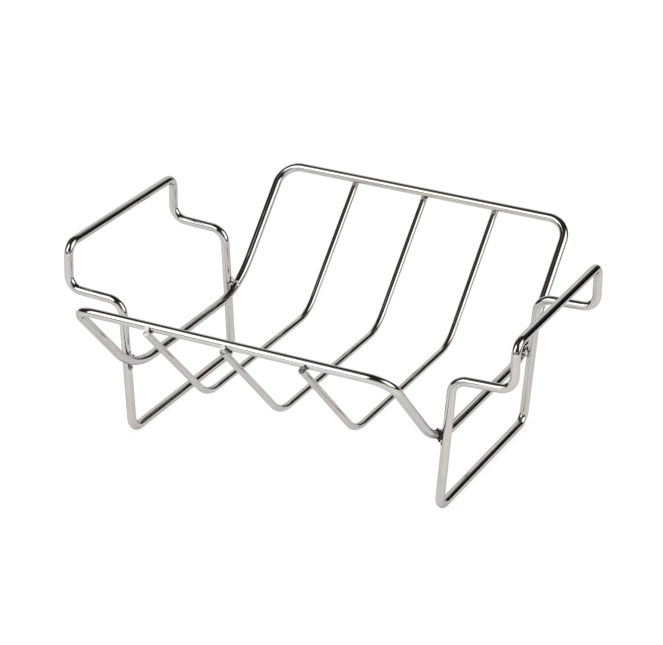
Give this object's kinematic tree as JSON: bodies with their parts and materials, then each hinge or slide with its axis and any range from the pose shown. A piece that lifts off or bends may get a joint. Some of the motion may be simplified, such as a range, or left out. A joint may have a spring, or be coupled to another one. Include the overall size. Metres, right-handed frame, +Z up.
{
  "type": "roasting rack",
  "caption": "Bent wire roasting rack: a U-shaped cradle of round rods held between side frames with foot bars and raised handles.",
  "frame": {"origin": "centre of the bounding box at the underside of the foot bars", "axes": "+X along the rack from the left handle to the right handle, +Y from the front rail to the rear rail, +Z up"},
  "size_m": [0.3438, 0.3154, 0.1387],
  "materials": {
    "frame_wire": "polished stainless wire with a satin sheen",
    "rib_wire": "polished stainless wire with a satin sheen",
    "weld_metal": "small lumpy weld beads, duller than the wire"
  },
  "bodies": {
    "root": {"basket_frame": "frame_wire", "left_side_frame": "frame_wire", "right_side_frame": "frame_wire", "rib_1": "rib_wire", "rib_2": "rib_wire", "rib_3": "rib_wire", "frame_weld_front_left": "weld_metal", "frame_weld_front_right": "weld_metal", "frame_weld_rear_left": "weld_metal", "frame_weld_rear_right": "weld_metal", "rib_weld_front_1": "weld_metal", "rib_weld_rear_1": "weld_metal", "rib_weld_front_2": "weld_metal", "rib_weld_rear_2": "weld_metal", "rib_weld_front_3": "weld_metal", "rib_weld_rear_3": "weld_metal"}
  },
  "joints": []
}
